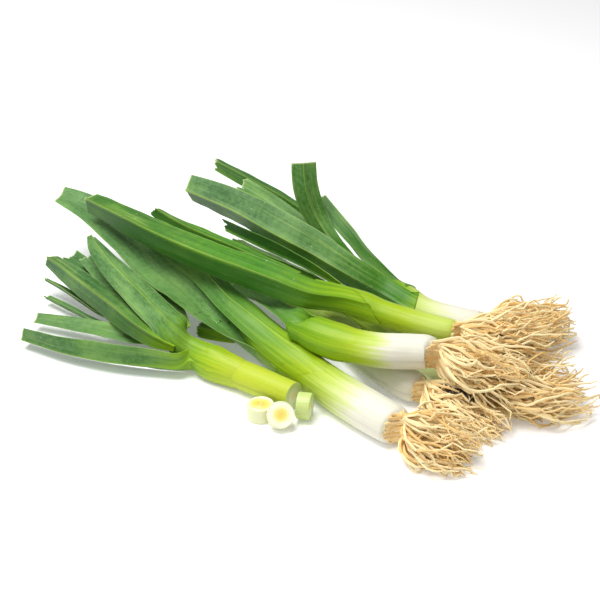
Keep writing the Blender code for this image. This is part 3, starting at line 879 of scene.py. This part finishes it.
def add_tongue(name, stem, base, middle, rise, runs, where):
    """Draws a blade's foot onto its stem and adds rows that run back along it."""
    layer, reach, _, wrap = SHEATHS[name]
    crisp = layer == OUTER
    lie = 0.00020 + 0.00035 * (layer - 1)
    foot, first = middle[0], base + runs[0]
    centre = stem.centre(first)
    _, across, upright = stem.axes(first)
    arm = foot - centre
    angles = np.unwrap(np.arctan2((arm * upright).sum(1), (arm * across).sum(1)))
    gaps = np.linalg.norm(arm, axis=1) - stem.radius(first)
    rows = max(4, int(reach / 0.002))
    steps = np.linspace(1, 0, rows + 1)[:, None]
    side = (1 - where)[None, :] / 2 if wrap else 0.0
    backs = steps * reach * (1 - 0.72 * (1 - side) * np.abs(where)[None, :] ** 1.6)
    turn = angles.mean() + (angles - angles.mean())[None, :] * (1 + 0.45 * ease(steps))
    turn = turn + math.radians(wrap) * side
    at = np.maximum(first[None, :] - backs, 0.004)
    lift = lie + (gaps[None, :] * 0.85 - lie) * ease((0.55 - steps) / 0.55)
    lift = lift + 0.0022 * side * ease((1 - steps) / 0.7)
    if not crisp:
        lift = lift - 0.0013 * ease((steps - 0.72) / 0.28)
    rings = []
    for c in range(len(where)):
        _, level, up = stem.axes(at[:, c])
        far = stem.radius(at[:, c]) + lift[:, c]
        rings.append(round_about(stem.centre(at[:, c]), level, up, far, turn[:, c]))
    tongue = np.stack(rings, axis=1)
    if wrap:
        middle = middle + (tongue[-1] - foot)[None] * (1 - ease(runs / 0.060))[..., None]
    greener = (rise[0] - first)[None] * (1.0 if crisp else 1 - steps)
    veins = (turn - angles.mean()) * float(stem.radius(first[len(first) // 2]))
    veins = np.concatenate([veins[:-1], np.repeat(veins[-1:], len(runs), 0)])
    pull = (1 - ease(runs / 0.035)) * (gaps * 0.15)[None, :]
    middle = middle - unit(middle - centre[None]) * pull[..., None]
    return np.concatenate([tongue[:-1], middle]), np.concatenate([(at + greener)[:-1], rise]), rows, veins


def strand_mesh(paths, radii, sides=5):
    """Round strands along paths (strands, points, 3); gives points and faces."""
    count, steps = paths.shape[:2]
    along = unit(np.gradient(paths, axis=1))
    level = unit(np.cross(np.array([0.13, 0.31, 0.94]), along))
    upright = np.cross(along, level)
    rings = round_about(paths[:, :, None], level[:, :, None], upright[:, :, None],
                        radii[..., None], full_turn(sides))
    faces = []
    for s in range(count):
        faces += tube_faces(steps, sides, s * steps * sides)
    return rings.reshape(-1, 3), faces


def tuft_reach(line, rings, rim, place):
    """Half width and half height of a tuft at places, never narrower than it was before them."""
    spans = rings - line.centres[:, None]
    _, across, upright = line.axes(line.run[::FINE_STEPS])
    reaches = []
    for axis in (across, upright):
        reach = np.abs((spans * axis[:, None]).sum(2)).max(1)
        reach = np.maximum.accumulate(np.maximum(reach, rim))
        reaches.append(smooth_rows(reach, line.place(place.ravel())).reshape(place.shape))
    return reaches


def strand_starts(stem, start, spoke, back):
    """Where strands leave the rim and face of a stem's plate."""
    _, level, up = stem.axes(back)
    reach = stem.radius(back) * np.minimum(start * 1.12, 1.02) + 0.0003
    return round_about(stem.centre(back), level, up, reach, spoke)


def root_piece(leek):
    """Tuft of wavy strands that flare from the basal plate."""
    size = bpy.context.scene.leek_sizes
    rings = lofted_rings(leek + "_roots", ROOT_SIDES, start_right=False)
    line, stem = Line(rings), STEMS[leek]
    rand = np.random.default_rng(ord(leek))
    count, steps = size.strands, STRAND_ROWS
    if leek in FULL_TUFTS:
        count = int(count * 1.2)
    t = np.linspace(0, 1, steps)[None, :] ** 1.25
    stretch = np.clip(rand.normal(0.76, 0.20, count), 0.22, 1.02)[:, None]
    straight = count // 18
    hanging = slice(straight, straight + (20 if leek in HANGING_TUFTS else 0))
    stretch[:straight] = 1.15
    stretch[hanging] = 0.42
    place = np.clip(t * stretch * line.length, 0, line.length)
    centre = line.centre(place.ravel()).reshape(count, steps, 3)
    _, across, upright = (axis.reshape(count, steps, 3) for axis in line.axes(place.ravel()))
    wide, tall = tuft_reach(line, rings, 1.04 * float(stem.radius(0.0)), place)
    # Each strand leaves the plate at its start and ends at its goal, as shares of the tuft's reach.
    spoke = rand.uniform(0, 2 * math.pi, count)[:, None]
    start = np.sqrt(rand.uniform(0.0, 1, count))[:, None]
    goal = np.clip(start * 1.15 + rand.normal(0.0, 0.34, count)[:, None], 0.05, 1.25)
    out = start + (goal - start) * t ** 0.6
    flare = 0.34 * ease((start - 0.5) / 0.4) * rand.uniform(0.2, 1.4, (count, 1))
    out = out * (1 + flare * np.sin(math.pi * np.clip(t / 0.55, 0, 1)))
    swing = spoke + rand.normal(0, 0.65, count)[:, None] * t
    paths = (centre + across * (wide * out * np.cos(swing))[..., None]
             + upright * (tall * out * np.sin(swing))[..., None])
    wander = np.zeros_like(paths)
    for waves, depth in SWAYS:
        phase = rand.uniform(0, 2 * math.pi, (count, 1, 3))
        pace = rand.uniform(0.7, 1.3, (count, 1, 3)) * waves * 2 * math.pi
        swerve = depth * (np.sin(pace * t[..., None] + phase) - np.sin(phase))
        wander += swerve * rand.uniform(0.3, 1.3, (count, 1, 1))
    paths = paths + wander * ease(t * 1.6)[..., None]
    back = rand.uniform(-1.0, 1.0, count) * 0.0016 * ease((start[:, 0] - 0.6) / 0.3)
    hub = strand_starts(stem, start[:, 0], spoke[:, 0], np.maximum(back, 0.0))
    leave = ease(t / rand.uniform(0.12, 0.55, (count, 1)))[..., None] ** 0.75
    paths = hub[:, None] * (1 - leave) + paths * leave
    # Strands sag toward the floor, but never through it.
    height = line.centres[0][2]
    dip = np.abs(rand.normal(0, 0.30, count))[:, None] * height * t ** 1.6
    dip[:straight] = 0.0
    dip[hanging] = 0.62 * height * t ** 1.1
    paths[..., 2] -= dip
    thick = rand.uniform(0.65, 1.15, count)[:, None] * size.strand_radius
    radii = thick * (1.05 - 0.60 * t ** 2)
    paths[..., 2] = np.maximum(paths[..., 2], radii * 1.05)
    points, faces = strand_mesh(paths, radii)
    sides = len(points) // (count * steps)
    values = [("tint", np.repeat(rand.uniform(0, 1, count), steps * sides)),
              ("tipward", np.tile(np.repeat(t[0], sides), count)),
              ("around", np.tile(np.linspace(0, 1, sides, endpoint=False), count * steps))]
    return add_piece("tuft_" + leek, points, faces, [kept(root_fibre)], [leek + "_roots"], values)


def slice_piece(name, tone, paleness):
    """Short cut length of shank: layered faces and a thin skin with softened rims."""
    rings = lofted_rings(name, SLICE_SIDES)
    low, high = rings.mean(1)
    along = unit(high - low)
    radius = float(np.linalg.norm(rings[0] - low, axis=1).mean())
    length = float(np.linalg.norm(high - low))
    level = unit(np.cross(along, [0.31, 0.17, 0.94]))
    upright = np.cross(along, level)
    sides, layers, rim = 72, 22, 0.0006
    turns = full_turn(sides)
    seed = sum(map(ord, name)) * 0.37
    oval = 1 - 0.02 - 0.018 * (1 + rough(np.cos(turns) * 0.8, np.sin(turns) * 0.8, seed))
    # Each ring of points: share of the radius, depth from the first face, and whether it is skin.
    half = [(k / layers, (0.0, 0.00030, 0.00012)[k % 3], False) for k in range(layers)]
    for bend in map(math.radians, (0.0, 30.0, 60.0, 90.0)):
        half.append((1 - rim / radius * (1 - math.sin(bend)), rim * (1 - math.cos(bend)), True))
    walls = [(1.0, length * w, True) for w in (0.2, 0.4, 0.6, 0.8)]
    whole = half + walls + [(share, length - depth, skin) for share, depth, skin in reversed(half)]
    inner = whole[1:-1]
    count = len(inner)
    points = np.concatenate([round_about(low + along * depth, level, upright, radius * share * oval, turns)
                             for share, depth, _ in inner])
    points = np.concatenate([points, [low + along * whole[0][1]], [low + along * whole[-1][1]]])
    first, last = len(points) - 2, len(points) - 1
    faces = grid_faces(count, sides, closed=True)
    for k in range(sides):
        n = (k + 1) % sides
        faces.append((n, k, first))
        faces.append(((count - 1) * sides + k, (count - 1) * sides + n, last))
    skins = [skin for _, _, skin in inner]
    second = [i for i, face in enumerate(faces)
              if not all(skins[min(v // sides, count - 1)] for v in face[:2])]
    shares, depths, _ = zip(*inner)
    ends = [0.0, 0.0]
    values = [("outward", np.concatenate([np.repeat(shares, sides), ends])),
              ("around", np.concatenate([np.tile(turns * radius, count), ends])),
              ("rise", np.concatenate([np.repeat(depths, sides), ends])),
              ("tone", np.full(len(points), tone)), ("paleness", np.full(len(points), paleness))]
    finishes = [kept(slice_skin), kept(cut_flesh)]
    return add_piece("cut_" + name, points, faces, finishes, [name], values, second)


def blobs(name, centres, radii, ups, squash, lumpy, finish):
    """Small lumps, each flattened along its own up direction; they stand for no CAD node."""
    rows, sides = 6, 10
    turns = full_turn(sides)
    points, faces = [], []
    for centre, radius, up in zip(centres, radii, ups):
        level = unit(np.cross(up, [0.83, 0.21, 0.11]))
        cross = np.cross(up, level)
        lump = 1 + lumpy * rough(np.cos(turns) * 1.5, np.sin(turns) * 1.5, centre[0] * 900)
        faces += tube_faces(rows, sides, len(points))
        for angle in np.linspace(-math.pi / 2, math.pi / 2, rows):
            wide = radius * max(math.cos(angle), 0.02) * lump
            points.extend(round_about(centre, level, cross, wide, turns)
                          + up * radius * squash * math.sin(angle))
    return add_piece(name, points, faces, [finish], [])


def soil_piece(leek):
    """Crumbs of soil caught among the upper strands of a tuft."""
    line = Line(lofted_rings(leek + "_roots", ROOT_SIDES, start_right=False))
    rand = np.random.default_rng(7)
    count = 90
    run = line.length * np.clip(rand.normal(0.42, 0.13, count), 0.1, 0.8)
    turn = np.radians(rand.normal(62, 26, count))
    _, across, upright = line.axes(run)
    out = line.radius(run) * rand.uniform(0.72, 1.04, count)
    centres = round_about(line.centre(run), across, upright, out, turn)
    centres[:, 2] = np.maximum(centres[:, 2], 0.0025)
    radii = rand.uniform(0.0005, 0.0019, count)
    ups = unit(rand.normal(0, 1, (count, 3)))
    return blobs("soil_" + leek, centres, radii, ups, 0.8, 0.30, kept(soil_finish))


def water_piece(name):
    """Drops of water on the wide part of a leaf."""
    five, inward = blade_grid(name)
    line = Line(five)
    rand = np.random.default_rng(11)
    count = 16
    centres, ups = [], []
    for _ in range(count):
        place = np.array([line.place(line.length * rand.uniform(0.20, 0.36))])
        where = np.array([rand.uniform(-0.75, 0.75)])
        at = across_blade(smooth_rows(five, place), where)[0, 0]
        up = unit(across_blade(smooth_rows(inward, place), where)[0, 0])
        centres.append(at + up * 0.0005)
        ups.append(up)
    radii = rand.uniform(0.0006, 0.0017, count)
    return blobs("drops_" + name, centres, radii, ups, 0.5, 0.0, kept(water_finish))


FINISHES = {}


def kept(maker, *about):
    """A finish made once and used again."""
    key = (maker.__name__, *about)
    if key not in FINISHES:
        FINISHES[key] = maker(*about)
    return FINISHES[key]


# ---------------------------------------------------------------- operators

class LEEK_OT_stems(bpy.types.Operator):
    """Build the seven shanks."""
    bl_idname = "leek.stems"
    bl_label = "Stems"

    def execute(self, context):
        for leek in LEEKS:
            stem_piece(leek)
        return {"FINISHED"}


class LEEK_OT_leaves(bpy.types.Operator):
    """Build the folded leaves."""
    bl_idname = "leek.leaves"
    bl_label = "Leaves"

    def execute(self, context):
        for name in LEAVES:
            leaf_piece(name)
        water_piece("a_leaf_lower")
        return {"FINISHED"}


class LEEK_OT_roots(bpy.types.Operator):
    """Build the root tufts."""
    bl_idname = "leek.roots"
    bl_label = "Roots"

    def execute(self, context):
        for leek in TUFTS:
            root_piece(leek)
        soil_piece("e")
        return {"FINISHED"}


class LEEK_OT_slices(bpy.types.Operator):
    """Build the cut slices."""
    bl_idname = "leek.slices"
    bl_label = "Slices"

    def execute(self, context):
        for name in SLICES:
            slice_piece(name, *SLICE_LOOKS[name])
        return {"FINISHED"}


class LEEK_OT_stage(bpy.types.Operator):
    """Lay the floor, hang the lights and set up the camera."""
    bl_idname = "leek.stage"
    bl_label = "Stage"

    def execute(self, context):
        stage = context.scene.leek_stage
        mesh = bpy.data.meshes.new("floor")
        reach = 6.0
        corners = [(-reach, -reach, 0), (reach, -reach, 0), (reach, reach, 0), (-reach, reach, 0)]
        mesh.from_pydata(corners, [], [(0, 1, 2, 3)])
        mesh.materials.append(floor_finish())
        floor = bpy.data.objects.new("floor", mesh)
        context.scene.collection.objects.link(floor)
        world = bpy.data.worlds.new("surroundings")
        world.use_nodes = True
        sky = world.node_tree.nodes["Background"]
        sky.inputs["Color"].default_value = (1.0, 1.0, 1.0, 1.0)
        sky.inputs["Strength"].default_value = stage.sky
        context.scene.world = world
        context.scene.view_settings.view_transform = "Standard"
        low, high = (np.array(corner) for corner in CAD_BOX)
        middle = (low + high) / 2
        aim = Vector((middle[0] + 0.0024, middle[1] + 0.063, 0.0))
        add_light("key", aim, (-0.35, -0.10, 1.22), 0.8, stage.key_power)
        add_light("fill", aim, (-0.6, -1.0, 0.8), 0.7, stage.key_power * 0.12)
        rise = stage.elevation
        camera = bpy.data.objects.new("camera", bpy.data.cameras.new("camera"))
        camera.data.lens = stage.lens
        back = Vector((0.0, -math.cos(rise), math.sin(rise)))
        camera.location = aim + back * stage.distance
        camera.rotation_euler = (math.pi / 2 - rise, 0.0, 0.0)
        context.scene.collection.objects.link(camera)
        context.scene.camera = camera
        return {"FINISHED"}


def add_light(name, aim, offset, size, power):
    """Square soft light that looks at a point."""
    lamp = bpy.data.lights.new(name, "AREA")
    lamp.size, lamp.energy = size, power
    obj = bpy.data.objects.new(name, lamp)
    obj.location = aim + Vector(offset)
    obj.rotation_euler = (-Vector(offset)).to_track_quat("-Z", "Y").to_euler()
    bpy.context.scene.collection.objects.link(obj)
    return obj


OPERATORS = (LEEK_OT_stems, LEEK_OT_leaves, LEEK_OT_roots, LEEK_OT_slices, LEEK_OT_stage)


class LEEK_PT_panel(bpy.types.Panel):
    """Lists the steps in order."""
    bl_label = "Leeks"
    bl_idname = "LEEK_PT_panel"
    bl_space_type = "VIEW_3D"
    bl_region_type = "UI"
    bl_category = "Leeks"

    def draw(self, context):
        for group in GROUPS:
            values = getattr(context.scene, group)
            for key in values.bl_rna.properties.keys():
                if key not in ("rna_type", "name"):
                    self.layout.prop(values, key)
        for operator in OPERATORS:
            self.layout.operator(operator.bl_idname)


CLASSES = (*GROUPS.values(), *OPERATORS, LEEK_PT_panel)


def register():
    for item in CLASSES:
        bpy.utils.register_class(item)
    for key, group in GROUPS.items():
        setattr(bpy.types.Scene, key, PointerProperty(type=group))


def unregister():
    for key in GROUPS:
        delattr(bpy.types.Scene, key)
    for item in reversed(CLASSES):
        bpy.utils.unregister_class(item)


def main():
    """Register the panel and build everything."""
    register()
    for operator in OPERATORS:
        getattr(bpy.ops.leek, operator.bl_idname.split(".")[1])()


if __name__ == "__main__":
    main()
